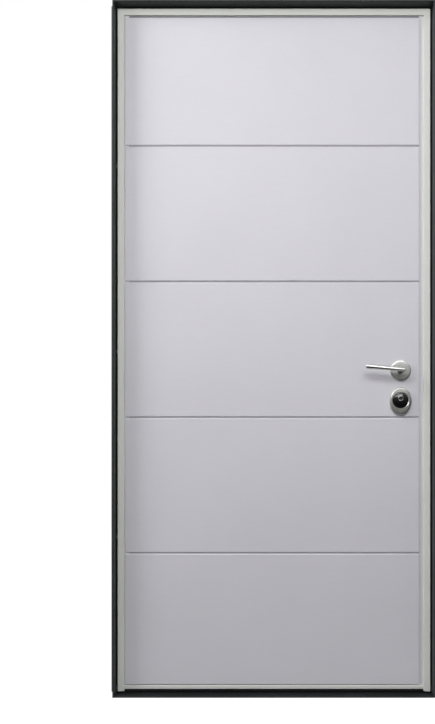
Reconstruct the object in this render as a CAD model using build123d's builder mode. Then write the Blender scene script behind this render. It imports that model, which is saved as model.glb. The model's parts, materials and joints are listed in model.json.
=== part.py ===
from build123d import *
import os

# A steel security door: a recessed, grooved leaf in a slim bent-steel frame.
# Millimetres. +X towards the lock, +Y into the building, +Z up.
# The origin is the centre of the threshold's underside, at floor level.

# Opening and frame
clear_width = 965            # between the two reveals
clear_height = 2100          # floor to soffit
frame_depth = 112            # front edge to back edge
frame_sheet = 2.5
front_lip = 5                # visible front edge of the bent sheet
rebate_width = 18            # how far the stop stands out from the reveal
back_rebate = 26             # stop face to the frame's back edge
frame_bend = 3.5             # outside bend radius
rebate_bend = 1

# Threshold
threshold_height = 5
threshold_fit = 0.3
threshold_nose = 2
tread_groove_width = 4
tread_groove_depth = 1.2
tread_groove_pitch = 8
tread_groove_count = 4
tread_first = 8              # front edge to the first groove's middle

# Leaf
side_gap = 5                 # leaf edge to reveal, also below the soffit
bottom_gap = 6               # threshold to the side trims
lip_overlap = 10             # how far the leaf's lip covers the stop
stop_gap = 12                # stop face to the lip, filled by the seal
box_depth = 48
box_lift = 2                 # side trims' feet to the box
cover_sheet = 2.5
fit_gap = 0.3

# Facings: panel and retaining trims
panel_thickness = 8
tongue_thickness = 4         # rebated margin under the trims
panel_set_back = 2           # trim face to panel face
trim_sheet = 1.5
trim_width = 21
trim_round = 3
trim_inner_round = 2
trim_leg = 16                # outer trim's leg along the leaf edge
inner_set_in = 2             # lip edge to the inner trims
bottom_trim_lift = 6.7       # side trims' feet to the bottom trim
bottom_trim_height = 11.3
gap_hinge = 2.5              # trim to raised field, by edge
gap_lock = 13.2
gap_top = 7.3
gap_bottom = 2.5
field_chamfer = 0.8

# Panel grooves
groove_count = 4
groove_pitch = 414.5
groove_width = 9
groove_depth = 3.6
first_groove = 400.3         # raised field's lower edge to the lowest groove

# Seals
seal_width = 8
seal_height = 7
seal_inset = 1               # reveal to seal
seal_round = 2.5
bottom_seal_width = 20
bottom_seal_height = 2.2
bottom_seal_margin = 6

# Handle
backset = 91.5               # leaf edge to the handle's axis
handle_height = 990
rose_diameter = 62
rose_height = 9
rose_bevel = 2.5
running_gap = 0.3
journal_diameter = 17
neck_base_diameter = 20
neck_top_diameter = 14
neck_cone = 12
handle_reach = 50            # panel face to the lever's centreline
lever_length = 109
lever_tail = 9
lever_rise = 10
lever_root_height = 10
lever_root_depth = 13
lever_tip_height = 12.5
lever_tip_depth = 9
lever_round = 3.5
spindle_size = 8
spindle_bore = 14
spindle_socket = 22
socket_clearance = 0.1

# Cylinder
plug_drop = 85               # handle axis to key plug axis
disc_drop = 7                # key plug axis to the guard disc's centre
escutcheon_drop = 9
escutcheon_width = 65.5
escutcheon_height = 84.5
escutcheon_end_radius = 29   # top and bottom arcs, the side arcs follow from them
escutcheon_depth = 10
escutcheon_bevel = 3.5
escutcheon_ring = 2
disc_diameter = 47
disc_edge = 7.5
disc_rise = 3.5
cylinder_head = 17
cylinder_web = 10
cylinder_total = 33
cylinder_clearance = 0.4
plug_diameter = 13
plug_head_diameter = 16.4
plug_head_height = 12.4
plug_rim = 0.8
keyway_width = 2.8
keyway_height = 9
keyway_depth = 9
keyway_turn = 25             # degrees from upright

# Lock edge
bolt_inset = 19              # leaf box's front to the line of every bolt
bolt_diameter = 14
bolt_length = 60
deadbolt_count = 3
deadbolt_pitch = 35
deadbolt_drop = 105          # handle axis to the middle deadbolt
latch_height = 22
upper_bolt_drop = 400        # soffit to the upper bolt
lower_bolt_z = 260
faceplate_thickness = 3
faceplate_width = 22
main_faceplate_above = 45    # how far the faceplate runs past the handle axis
main_faceplate_below = 175
end_faceplate_height = 70
strike_clearance = 2
strike_wall = 2
strike_flange = 2
strike_box_depth = 15.5
strike_margin = 6

# Hinge edge
dog_bolt_diameter = 10
dog_bolt_reach = 12
dog_bolt_root = 30
dog_bolt_clearance = 5
dog_bolt_count = 3
dog_bolt_pitch = 570
hinge_back = 10              # frame back edge to the hinge axis
hinge_out = 14.5             # reveal to the hinge axis
lower_hinge_z = 300
upper_hinge_drop = 300       # soffit to the upper hinge's middle
hinge_length = 140
knuckle_radius = 8
pin_radius = 4
pin_clearance = 0.1
pin_head = 4
pin_chamfer = 1.5
leaf_knuckle = 68
knuckle_gap = 0.5
frame_plate = 3
frame_plate_end = 6          # frame back edge to the plate's edge between knuckles
leaf_plate = 3.5
leaf_plate_width = 15
leaf_plate_inset = 4

# Fixings
wall_hole_diameter = 11
wall_hole_inset = 22         # stop to the wall holes
wall_hole_first = 190
wall_hole_drop = 170         # soffit to the highest hole
wall_hole_count = 4
anchor_hole_diameter = 9
anchor_sink_diameter = 16
anchor_hole_inset = 20       # stop to the anchor holes
anchor_hole_pitch = 260
anchor_hole_count = 4

# Places worked out from the sizes
half_clear = clear_width / 2
front_y = -frame_depth / 2
back_y = frame_depth / 2
stop_y = back_y - back_rebate
web_depth = stop_y - front_y
jamb_height = clear_height + rebate_width + frame_sheet

leaf_half = half_clear - side_gap
leaf_top = clear_height - side_gap
leaf_bottom = threshold_height + bottom_gap
box_back_y = stop_y + stop_gap
box_front_y = box_back_y - box_depth
panel_face_y = box_front_y - panel_thickness
leaf_face_y = panel_face_y - panel_set_back
box_half = leaf_half - trim_sheet
box_top = leaf_top - trim_sheet
box_bottom = leaf_bottom + box_lift
cover_back_y = box_back_y + cover_sheet
lip_half = half_clear + lip_overlap
lip_top = clear_height + lip_overlap
inner_face_y = cover_back_y + panel_thickness
inner_half = lip_half - inner_set_in
inner_top = lip_top - inner_set_in
trim_back_y = inner_face_y + panel_set_back
bottom_trim_z = leaf_bottom + bottom_trim_lift
leaf_middle = Plane.XZ.offset(-(panel_face_y + inner_face_y) / 2)

bolt_line = box_front_y + bolt_inset
upper_bolt_z = clear_height - upper_bolt_drop
handle_x = leaf_half - backset
deadbolt_middle = handle_height - deadbolt_drop
plug_z = handle_height - plug_drop
disc_z = plug_z - disc_drop
escutcheon_z = plug_z - escutcheon_drop
hinge_x = -(half_clear + hinge_out)
hinge_y = back_y + hinge_back
hinge_heights = (lower_hinge_z, clear_height - upper_hinge_drop)

outer_plane = Plane.XZ.offset(-panel_face_y)
os.makedirs("parts", exist_ok=True)


def save(piece, name):
    """Label a finished piece and write it."""
    piece.part.label = name
    export_step(piece.part, f"parts/{name}.step")


def section_plane(origin, inward, depth):
    """A plane across a bent edge: x runs inward or outward, y runs into the wall."""
    return Plane(origin=origin, x_dir=inward, z_dir=Vector(*inward).cross(Vector(*depth)))


def mitre(side, half, top):
    """The 45 degree plane of an upper corner, its normal towards the upright."""
    return Plane(origin=(side * half, 0, top), z_dir=(side, 0, -1))


def line_heights(first, pitch, count):
    return [first + pitch * step for step in range(count)]


# Frame


def frame_section(plane):
    """Front lip, reveal, stop and back web of the bent frame sheet."""
    with BuildSketch(plane) as section:
        with BuildLine():
            FilletPolyline(
                (front_lip, 0),
                (0, 0),
                (0, web_depth),
                (rebate_width, web_depth),
                (rebate_width, frame_depth),
                radius=(frame_bend, frame_bend, rebate_bend),
            )
            offset(amount=frame_sheet, side=Side.RIGHT)
        make_face()
    return section.sketch


def jamb_blank(side):
    """One upright of the frame, mitred at the top, before its holes."""
    plane = section_plane((side * half_clear, front_y, 0), (side, 0, 0), (0, 1, 0))
    with BuildPart() as blank:
        add(frame_section(plane))
        extrude(amount=jamb_height, dir=(0, 0, 1))
        split(bisect_by=mitre(side, half_clear, clear_height), keep=Keep.TOP)
    return blank.part


def reveal_plane(side):
    """The reveal's face seen from the opening: x runs along +Y, y runs up."""
    return Plane(origin=(side * half_clear, 0, 0), x_dir=(0, 1, 0), z_dir=(1, 0, 0))


strike_slot = bolt_diameter + 2 * strike_clearance
wall_hole_y = stop_y - wall_hole_inset
wall_hole_pitch = (clear_height - wall_hole_drop - wall_hole_first) / (wall_hole_count - 1)
wall_holes = line_heights(wall_hole_first, wall_hole_pitch, wall_hole_count)
dog_bolt_first = (clear_height - dog_bolt_pitch * (dog_bolt_count - 1)) / 2
dog_bolt_heights = line_heights(dog_bolt_first, dog_bolt_pitch, dog_bolt_count)
deadbolt_first = deadbolt_middle - deadbolt_pitch * (deadbolt_count - 1) / 2
deadbolt_heights = line_heights(deadbolt_first, deadbolt_pitch, deadbolt_count)
deadbolt_slot = deadbolt_pitch * (deadbolt_count - 1) + strike_slot
latch_slot = latch_height + 2 * strike_clearance

with BuildPart() as jamb_hinge_side:
    add(jamb_blank(-1))
    with BuildSketch(reveal_plane(-1)):
        with Locations(*[(wall_hole_y, z) for z in wall_holes]):
            Circle(wall_hole_diameter / 2)
        with Locations(*[(bolt_line, z) for z in dog_bolt_heights]):
            Circle(dog_bolt_diameter / 2 + dog_bolt_clearance)
    extrude(amount=-rebate_width, mode=Mode.SUBTRACT)
save(jamb_hinge_side, "jamb_hinge_side")

with BuildPart() as jamb_lock_side:
    add(jamb_blank(1))
    with BuildSketch(reveal_plane(1)):
        with Locations(*[(wall_hole_y, z) for z in wall_holes]):
            Circle(wall_hole_diameter / 2)
        with Locations((bolt_line, upper_bolt_z), (bolt_line, lower_bolt_z)):
            Circle(strike_slot / 2)
        with Locations((bolt_line, deadbolt_middle)):
            SlotOverall(deadbolt_slot, strike_slot, rotation=90)
        with Locations((bolt_line, handle_height)):
            Rectangle(strike_slot, latch_slot)
    extrude(amount=rebate_width, mode=Mode.SUBTRACT)
save(jamb_lock_side, "jamb_lock_side")

head_half = half_clear + rebate_width + frame_sheet
head_plane = section_plane((-head_half, front_y, clear_height), (0, 0, 1), (0, 1, 0))
with BuildPart() as head:
    add(frame_section(head_plane))
    extrude(amount=2 * head_half, dir=(1, 0, 0))
    split(bisect_by=mitre(1, half_clear, clear_height), keep=Keep.BOTTOM)
    split(bisect_by=mitre(-1, half_clear, clear_height), keep=Keep.BOTTOM)
save(head, "head")

tread_grooves = line_heights(front_y + tread_first, tread_groove_pitch, tread_groove_count)
anchor_hole_y = stop_y - anchor_hole_inset
anchor_first = -anchor_hole_pitch * (anchor_hole_count - 1) / 2
with BuildPart() as threshold:
    with BuildSketch(Plane.YZ.offset(threshold_fit - half_clear)):
        with Locations((front_y, 0)):
            Rectangle(frame_depth, threshold_height, align=(Align.MIN, Align.MIN))
        chamfer(vertices().group_by(Axis.Y)[-1].sort_by(Axis.X)[0], threshold_nose)
        with Locations(*[(y, threshold_height) for y in tread_grooves]):
            Rectangle(tread_groove_width, 2 * tread_groove_depth, mode=Mode.SUBTRACT)
    extrude(amount=2 * (half_clear - threshold_fit))
    with BuildSketch(Plane.XY):
        with Locations((0, stop_y + threshold_fit)):
            Rectangle(
                2 * (half_clear + rebate_width - frame_plate - threshold_fit),
                back_rebate - threshold_fit,
                align=(Align.CENTER, Align.MIN),
            )
    extrude(amount=threshold_height)
    with Locations(
        *[
            (x, anchor_hole_y, threshold_height)
            for x in line_heights(anchor_first, anchor_hole_pitch, anchor_hole_count)
        ]
    ):
        CounterSinkHole(anchor_hole_diameter / 2, anchor_sink_diameter / 2)
save(threshold, "threshold")


def seal_section(plane):
    """Soft bulb seal on the stop's face, rounded where the leaf's lip comes."""
    with BuildSketch(plane) as section:
        with Locations((seal_inset, web_depth)):
            Rectangle(seal_width, seal_height, align=(Align.MIN, Align.MIN))
        fillet(section.vertices().group_by(Axis.Y)[-1], seal_round)
    return section.sketch


def upright_seal(side):
    top = clear_height + seal_inset + seal_width
    plane = section_plane(
        (side * half_clear, front_y, threshold_height), (side, 0, 0), (0, 1, 0)
    )
    with BuildPart() as seal:
        add(seal_section(plane))
        extrude(amount=top - threshold_height, dir=(0, 0, 1))
        split(bisect_by=mitre(side, half_clear, clear_height), keep=Keep.TOP)
    return seal


save(upright_seal(-1), "seal_hinge_side")
save(upright_seal(1), "seal_lock_side")

with BuildPart() as seal_head:
    add(seal_section(head_plane))
    extrude(amount=2 * head_half, dir=(1, 0, 0))
    split(bisect_by=mitre(1, half_clear, clear_height), keep=Keep.BOTTOM)
    split(bisect_by=mitre(-1, half_clear, clear_height), keep=Keep.BOTTOM)
save(seal_head, "seal_head")


def strike_box(low, high):
    """Pressed pocket behind the lock jamb that the bolts shoot into."""
    back_of_web = Plane(
        origin=(half_clear + frame_sheet, bolt_line, (low + high) / 2),
        x_dir=(0, 1, 0),
        z_dir=(1, 0, 0),
    )
    height = high - low
    with BuildPart() as box:
        with BuildSketch(back_of_web):
            Rectangle(strike_slot + 2 * strike_wall, height + 2 * strike_wall)
        extrude(amount=strike_box_depth)
        with BuildSketch(back_of_web):
            Rectangle(strike_slot + 2 * strike_wall + strike_wall, height + 4 * strike_margin)
        extrude(amount=strike_flange)
        with BuildSketch(back_of_web):
            Rectangle(strike_slot, height)
        extrude(amount=strike_box_depth - strike_wall, mode=Mode.SUBTRACT)
    return box


main_strike_low = deadbolt_middle - deadbolt_slot / 2
main_strike_high = handle_height + latch_slot / 2
save(strike_box(main_strike_low, main_strike_high), "strike_box_main")
save(strike_box(upper_bolt_z - strike_slot / 2, upper_bolt_z + strike_slot / 2), "strike_box_upper")
save(strike_box(lower_bolt_z - strike_slot / 2, lower_bolt_z + strike_slot / 2), "strike_box_lower")

# Leaf box and lip


def draw_cylinder(grow):
    """Round head and narrow web of the profile cylinder, in the sketch being drawn."""
    lower = cylinder_total - cylinder_head / 2 - cylinder_web / 2
    with Locations((handle_x, plug_z)):
        Circle(cylinder_head / 2 + grow)
    with Locations((handle_x, plug_z - lower / 2)):
        SlotCenterToCenter(lower, cylinder_web + 2 * grow, rotation=90)


def draw_lock_openings():
    """Spindle bore and cylinder cut-out, the same through every layer of the leaf."""
    with Locations((handle_x, handle_height)):
        Circle(spindle_bore / 2)
    draw_cylinder(cylinder_clearance)


lock_edge = Plane(origin=(leaf_half, 0, 0), x_dir=(0, 1, 0), z_dir=(1, 0, 0))
hinge_edge = Plane(origin=(-box_half, 0, 0), x_dir=(0, 1, 0), z_dir=(1, 0, 0))
main_faceplate_height = main_faceplate_above + main_faceplate_below
main_faceplate_middle = handle_height + (main_faceplate_above - main_faceplate_below) / 2
round_bolts = [*deadbolt_heights, upper_bolt_z, lower_bolt_z]


def draw_faceplates():
    with Locations((bolt_line, main_faceplate_middle)):
        SlotOverall(main_faceplate_height, faceplate_width, rotation=90)
    with Locations((bolt_line, upper_bolt_z), (bolt_line, lower_bolt_z)):
        SlotOverall(end_faceplate_height, faceplate_width, rotation=90)


def draw_bolt_holes():
    """Every bolt's hole on the lock edge."""
    with Locations(*[(bolt_line, z) for z in round_bolts]):
        Circle(bolt_diameter / 2 + fit_gap)
    with Locations((bolt_line, handle_height)):
        Rectangle(bolt_diameter + 2 * fit_gap, latch_height + 2 * fit_gap)


with BuildPart() as leaf_core:
    with BuildSketch(Plane.XY.offset(box_bottom)):
        with Locations((0, box_front_y)):
            Rectangle(2 * box_half, box_depth, align=(Align.CENTER, Align.MIN))
    extrude(amount=box_top - box_bottom)
    with BuildSketch(Plane.XZ.offset(-box_back_y)):
        draw_lock_openings()
    extrude(amount=box_depth, mode=Mode.SUBTRACT)
    with BuildSketch(lock_edge):
        draw_faceplates()
    extrude(amount=-faceplate_thickness, mode=Mode.SUBTRACT)
    with BuildSketch(lock_edge):
        draw_bolt_holes()
    extrude(amount=-bolt_length - fit_gap, mode=Mode.SUBTRACT)
    with BuildSketch(hinge_edge):
        with Locations(*[(bolt_line, z) for z in dog_bolt_heights]):
            Circle(dog_bolt_diameter / 2 + pin_clearance)
    extrude(amount=dog_bolt_root, mode=Mode.SUBTRACT)
save(leaf_core, "leaf_core")

with BuildPart() as leaf_cover:
    with BuildSketch(Plane.XZ.offset(-box_back_y)):
        with Locations((0, box_bottom)):
            Rectangle(2 * lip_half, lip_top - box_bottom, align=(Align.CENTER, Align.MIN))
    extrude(amount=-cover_sheet)
    with BuildSketch(Plane.XZ.offset(-cover_back_y)):
        draw_lock_openings()
    extrude(amount=cover_sheet, mode=Mode.SUBTRACT)
save(leaf_cover, "leaf_cover")

with BuildPart() as bottom_seal:
    with BuildSketch(Plane.XY.offset(box_bottom)):
        with Locations((0, (box_front_y + box_back_y) / 2)):
            Rectangle(2 * (box_half - bottom_seal_margin), bottom_seal_width)
    extrude(amount=-bottom_seal_height)
save(bottom_seal, "bottom_seal")

# Facings


def facing_panel(back_y, out, half, top):
    """Grooved board: a raised field inside a thin margin that the trims hold.

    out is 1 for the side that faces outdoors and -1 for the side that faces indoors.
    """
    back = Plane.XZ.offset(-back_y)
    board_half = half - trim_sheet - fit_gap
    board_top = top - trim_sheet - fit_gap
    board_bottom = bottom_trim_z + trim_sheet + fit_gap
    field_left = -(half - trim_width - gap_hinge)
    field_right = half - trim_width - gap_lock
    field_top = top - trim_width - gap_top
    field_bottom = bottom_trim_z + bottom_trim_height + gap_bottom
    face_y = back_y - out * panel_thickness
    grooves = line_heights(field_bottom + first_groove, groove_pitch, groove_count)
    with BuildPart() as panel:
        with BuildSketch(back):
            with Locations((0, board_bottom)):
                Rectangle(2 * board_half, board_top - board_bottom, align=(Align.CENTER, Align.MIN))
        extrude(amount=out * tongue_thickness)
        with BuildSketch(back):
            with Locations((field_left, field_bottom)):
                Rectangle(
                    field_right - field_left,
                    field_top - field_bottom,
                    align=(Align.MIN, Align.MIN),
                )
        extrude(amount=out * panel_thickness)
        chamfer(faces().sort_by(Axis.Y)[0 if out > 0 else -1].edges(), field_chamfer)
        with BuildSketch(Plane.YZ.offset(field_left)):
            with Locations(*[(face_y, z) for z in grooves]):
                Polygon(
                    (0, -groove_width / 2),
                    (out * groove_depth, 0),
                    (0, groove_width / 2),
                    align=None,
                )
        extrude(amount=field_right - field_left, mode=Mode.SUBTRACT)
        with BuildSketch(back):
            draw_lock_openings()
        extrude(amount=out * panel_thickness, mode=Mode.SUBTRACT)
    return panel


def trim_section(plane, leg, width, outer_round):
    """Bent cover strip: a leg along the edge, a face, and a lip down to the panel's margin."""
    with BuildSketch(plane) as section:
        with BuildLine():
            FilletPolyline(
                (0, leg),
                (0, 0),
                (width, 0),
                (width, panel_set_back + panel_thickness - tongue_thickness),
                radius=(outer_round, trim_inner_round),
            )
            offset(amount=trim_sheet, side=Side.LEFT)
        make_face()
    return section.sketch


def upright_trim(side, out, face_y, leg, half, top):
    plane = section_plane((side * half, face_y, leaf_bottom), (-side, 0, 0), (0, out, 0))
    with BuildPart() as trim:
        add(trim_section(plane, leg, trim_width, trim_round))
        extrude(amount=top - leaf_bottom, dir=(0, 0, 1))
        split(bisect_by=mitre(side, half, top), keep=Keep.TOP)
    return trim


def top_trim(out, face_y, leg, half, top):
    plane = section_plane((-half, face_y, top), (0, 0, -1), (0, out, 0))
    with BuildPart() as trim:
        add(trim_section(plane, leg, trim_width, trim_round))
        extrude(amount=2 * half, dir=(1, 0, 0))
        split(bisect_by=mitre(1, half, top), keep=Keep.BOTTOM)
        split(bisect_by=mitre(-1, half, top), keep=Keep.BOTTOM)
    return trim


def bottom_trim(out, face_y, half):
    """Low strip between the side trims, its leg reaching back to the leaf's steel."""
    leg = panel_set_back + panel_thickness
    start = trim_width - half
    plane = section_plane((start, face_y, bottom_trim_z), (0, 0, 1), (0, out, 0))
    with BuildPart() as trim:
        add(trim_section(plane, leg, bottom_trim_height, trim_inner_round))
        extrude(amount=-2 * start, dir=(1, 0, 0))
    return trim


def save_facing(name, out, face_y, back_y, leg, half, top):
    """A whole facing: the panel and the four trims round it."""
    save(facing_panel(back_y, out, half, top), f"{name}_panel")
    save(upright_trim(-1, out, face_y, leg, half, top), f"{name}_trim_hinge_side")
    save(upright_trim(1, out, face_y, leg, half, top), f"{name}_trim_lock_side")
    save(top_trim(out, face_y, leg, half, top), f"{name}_trim_top")
    save(bottom_trim(out, face_y, half), f"{name}_trim_bottom")


inner_leg = panel_set_back + panel_thickness
save_facing("outer", 1, leaf_face_y, box_front_y, trim_leg, leaf_half, leaf_top)
save_facing("inner", -1, trim_back_y, cover_back_y, inner_leg, inner_half, inner_top)

# Lock edge hardware

with BuildPart() as lock_faceplates:
    with BuildSketch(lock_edge):
        draw_faceplates()
    extrude(amount=-faceplate_thickness)
    with BuildSketch(lock_edge):
        draw_bolt_holes()
    extrude(amount=-faceplate_thickness, mode=Mode.SUBTRACT)
save(lock_faceplates, "lock_faceplates")


def round_bolt(heights):
    with BuildPart() as bolts:
        with BuildSketch(lock_edge):
            with Locations(*[(bolt_line, z) for z in heights]):
                Circle(bolt_diameter / 2)
        extrude(amount=-bolt_length)
        chamfer(bolts.faces().filter_by(Axis.X).group_by(Axis.X)[-1].edges(), 1)
    return bolts


save(round_bolt(deadbolt_heights), "deadbolts")
save(round_bolt([upper_bolt_z]), "upper_bolt")
save(round_bolt([lower_bolt_z]), "lower_bolt")

with BuildPart() as latch_bolt:
    with BuildSketch(lock_edge):
        with Locations((bolt_line, handle_height)):
            Rectangle(bolt_diameter, latch_height)
    extrude(amount=-bolt_length)
    nose = latch_bolt.faces().sort_by(Axis.X)[-1]
    chamfer(nose.edges().sort_by(Axis.Y)[-1], bolt_diameter * 0.6)
save(latch_bolt, "latch_bolt")

with BuildPart() as dog_bolts:
    with BuildSketch(hinge_edge.offset(dog_bolt_root)):
        with Locations(*[(bolt_line, z) for z in dog_bolt_heights]):
            Circle(dog_bolt_diameter / 2)
    extrude(amount=-(dog_bolt_root + dog_bolt_reach))
    chamfer(dog_bolts.faces().filter_by(Axis.X).group_by(Axis.X)[0].edges(), 1.5)
save(dog_bolts, "dog_bolts")

# Hinges


def hinge_frame_half(middle):
    """Plate on the jamb's back web with two knuckles and the fixed pin."""
    bottom = middle - hinge_length / 2
    ear = (hinge_length - leaf_knuckle) / 2 - knuckle_gap
    web_inner = -(half_clear + rebate_width)
    plate_low = stop_y + frame_plate
    with BuildPart() as half_hinge:
        with BuildSketch(Plane.XY.offset(bottom)):
            with Locations((web_inner, plate_low)):
                Rectangle(
                    frame_plate,
                    back_y - frame_plate_end - plate_low,
                    align=(Align.MIN, Align.MIN),
                )
        extrude(amount=hinge_length)
        for low in (bottom, bottom + hinge_length - ear):
            with BuildSketch(Plane.XY.offset(low)):
                with Locations((hinge_x, hinge_y)):
                    Circle(knuckle_radius)
                with Locations((web_inner, plate_low)):
                    Rectangle(frame_plate, hinge_y - plate_low, align=(Align.MIN, Align.MIN))
            extrude(amount=ear)
        with BuildSketch(Plane.XY.offset(bottom - pin_head)):
            with Locations((hinge_x, hinge_y)):
                Circle(pin_radius)
        extrude(amount=hinge_length + 2 * pin_head)
        chamfer(half_hinge.faces().sort_by(Axis.Z)[-1].edges(), pin_chamfer)
        chamfer(half_hinge.faces().sort_by(Axis.Z)[0].edges(), pin_chamfer)
    return half_hinge


def hinge_leaf_half(middle):
    """Plate on the leaf's inner trim with the middle knuckle."""
    plate_x = -(inner_half - leaf_plate_inset)
    with BuildPart() as half_hinge:
        with BuildSketch(Plane.XY.offset(middle - leaf_knuckle / 2)):
            with BuildSketch(mode=Mode.PRIVATE) as arm:
                with Locations((hinge_x, hinge_y)):
                    Circle(knuckle_radius)
                with Locations((plate_x, trim_back_y)):
                    Rectangle(leaf_plate, leaf_plate, align=(Align.MIN, Align.MIN))
            make_hull(arm.edges())
            with Locations((plate_x, trim_back_y)):
                Rectangle(leaf_plate_width, leaf_plate, align=(Align.MIN, Align.MIN))
            with Locations((hinge_x, hinge_y)):
                Circle(pin_radius + pin_clearance, mode=Mode.SUBTRACT)
        extrude(amount=leaf_knuckle)
        with BuildSketch(Plane.XY.offset(middle - hinge_length / 2)):
            with Locations((plate_x, trim_back_y)):
                Rectangle(leaf_plate_width, leaf_plate, align=(Align.MIN, Align.MIN))
        extrude(amount=hinge_length)
    return half_hinge


for place, height in zip(("lower", "upper"), hinge_heights):
    save(hinge_frame_half(height), f"hinge_{place}_frame_half")
    save(hinge_leaf_half(height), f"hinge_{place}_leaf_half")

# Handle set


def save_pair(piece, name):
    """The outdoor piece and its mirror image on the indoor side."""
    save(piece, f"outer_{name}")
    with BuildPart() as twin:
        mirror(piece.part, about=leaf_middle)
    save(twin, f"inner_{name}")


with BuildPart() as rose:
    with BuildSketch(outer_plane):
        with Locations((handle_x, handle_height)):
            Circle(rose_diameter / 2)
    extrude(amount=rose_height)
    chamfer(rose.faces().sort_by(Axis.Y)[0].edges(), rose_bevel)
    with BuildSketch(outer_plane):
        with Locations((handle_x, handle_height)):
            Circle(journal_diameter / 2 + running_gap)
    extrude(amount=rose_height, mode=Mode.SUBTRACT)
save_pair(rose, "rose")


def lever_plane(along):
    """Across the lever bar, at a distance from the handle's axis towards the tip."""
    rise = along * lever_rise / (lever_length + lever_tail)
    return Plane(
        origin=(handle_x - along, panel_face_y - handle_reach, handle_height + rise),
        x_dir=(0, 1, 0),
        z_dir=(1, 0, 0),
    )


rose_front = rose_height + running_gap
with BuildPart() as lever:
    with BuildSketch(lever_plane(-lever_tail)):
        RectangleRounded(lever_root_depth, lever_root_height, lever_round)
    with BuildSketch(lever_plane(lever_length)):
        RectangleRounded(lever_tip_depth, lever_tip_height, lever_round)
    loft(ruled=True)
    chamfer(lever.faces().sort_by(Axis.X)[0].edges(), 1.2)
    chamfer(lever.faces().sort_by(Axis.X)[-1].edges(), 1.2)
    neck_axis = Plane(
        origin=(handle_x, panel_face_y, handle_height), x_dir=(1, 0, 0), z_dir=(0, 0, 1)
    )
    with BuildSketch(neck_axis):
        with BuildLine():
            Polyline(
                (0, -running_gap),
                (journal_diameter / 2, -running_gap),
                (journal_diameter / 2, -rose_front),
                (neck_base_diameter / 2, -rose_front),
                (neck_top_diameter / 2, -rose_front - neck_cone),
                (neck_top_diameter / 2 - lever_round / 2, -handle_reach),
                (0, -handle_reach),
                close=True,
            )
        make_face()
    revolve(axis=Axis((handle_x, 0, handle_height), (0, 1, 0)))
    with BuildSketch(outer_plane):
        with Locations((handle_x, handle_height)):
            Rectangle(spindle_size + 2 * socket_clearance, spindle_size + 2 * socket_clearance)
    extrude(amount=spindle_socket + socket_clearance, mode=Mode.SUBTRACT)
save_pair(lever, "lever")

with BuildPart() as spindle:
    with BuildSketch(Plane.XZ.offset(-(inner_face_y + spindle_socket))):
        with Locations((handle_x, handle_height)):
            Rectangle(spindle_size, spindle_size)
    extrude(amount=inner_face_y - panel_face_y + 2 * spindle_socket)
    chamfer(spindle.faces().filter_by(Axis.Y).edges(), 1)
save(spindle, "spindle")

# Cylinder set

escutcheon_plane = Plane(
    origin=(handle_x, panel_face_y, escutcheon_z), x_dir=(1, 0, 0), z_dir=(0, -1, 0)
)
end_centre = escutcheon_height / 2 - escutcheon_end_radius
side_radius = (
    (escutcheon_width / 2) ** 2 + end_centre**2 - escutcheon_end_radius**2
) / (escutcheon_width - 2 * escutcheon_end_radius)
join = Vector(side_radius - escutcheon_width / 2, end_centre).normalized() * escutcheon_end_radius
join_x = join.X
join_y = join.Y + end_centre
with BuildPart() as escutcheon:
    with BuildSketch(escutcheon_plane):
        with BuildLine():
            ThreePointArc((-join_x, join_y), (0, escutcheon_height / 2), (join_x, join_y))
            ThreePointArc((join_x, join_y), (escutcheon_width / 2, 0), (join_x, -join_y))
            ThreePointArc((join_x, -join_y), (0, -escutcheon_height / 2), (-join_x, -join_y))
            ThreePointArc((-join_x, -join_y), (-escutcheon_width / 2, 0), (-join_x, join_y))
        make_face()
    extrude(amount=escutcheon_depth)
    chamfer(escutcheon.faces().sort_by(Axis.Y)[0].edges(), escutcheon_bevel)
    with BuildSketch(outer_plane):
        with Locations((handle_x, disc_z)):
            Circle(disc_diameter / 2 + running_gap)
    extrude(amount=escutcheon_depth, mode=Mode.SUBTRACT)
    ring = escutcheon.faces().sort_by(Axis.Y)[0].edges().filter_by(GeomType.CIRCLE)
    chamfer(ring, escutcheon_ring)
save_pair(escutcheon, "escutcheon")

# Dome of the guard disc: radius and share of the rise, from the edge to the middle
dome_steps = [
    (disc_diameter / 2 * share, 1 - share**2) for share in (0.96, 0.85, 0.66, 0.36)
] + [(0, 1)]
with BuildPart() as guard_disc:
    disc_axis = Plane(origin=(handle_x, panel_face_y, disc_z), x_dir=(1, 0, 0), z_dir=(0, 0, 1))
    with BuildSketch(disc_axis):
        with BuildLine():
            Polyline(
                (0, 0),
                (disc_diameter / 2, 0),
                (disc_diameter / 2, -disc_edge),
                *[(radius, -disc_edge - disc_rise * rise) for radius, rise in dome_steps],
                close=True,
            )
        make_face()
    revolve(axis=Axis((handle_x, 0, disc_z), (0, 1, 0)))
    with BuildSketch(outer_plane):
        with Locations((handle_x, plug_z)):
            Circle(plug_head_diameter / 2 + running_gap)
    extrude(amount=disc_edge + disc_rise, mode=Mode.SUBTRACT)
save_pair(guard_disc, "guard_disc")

cylinder_front_y = panel_face_y + running_gap
cylinder_back_y = inner_face_y - running_gap
with BuildPart() as cylinder_body:
    with BuildSketch(Plane.XZ.offset(-cylinder_back_y)):
        draw_cylinder(0)
    extrude(amount=cylinder_back_y - cylinder_front_y)
    with BuildSketch(Plane.XZ.offset(-cylinder_back_y)):
        with Locations((handle_x, plug_z)):
            Circle(plug_diameter / 2 + pin_clearance)
    extrude(amount=cylinder_back_y - cylinder_front_y, mode=Mode.SUBTRACT)
save(cylinder_body, "cylinder_body")

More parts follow.
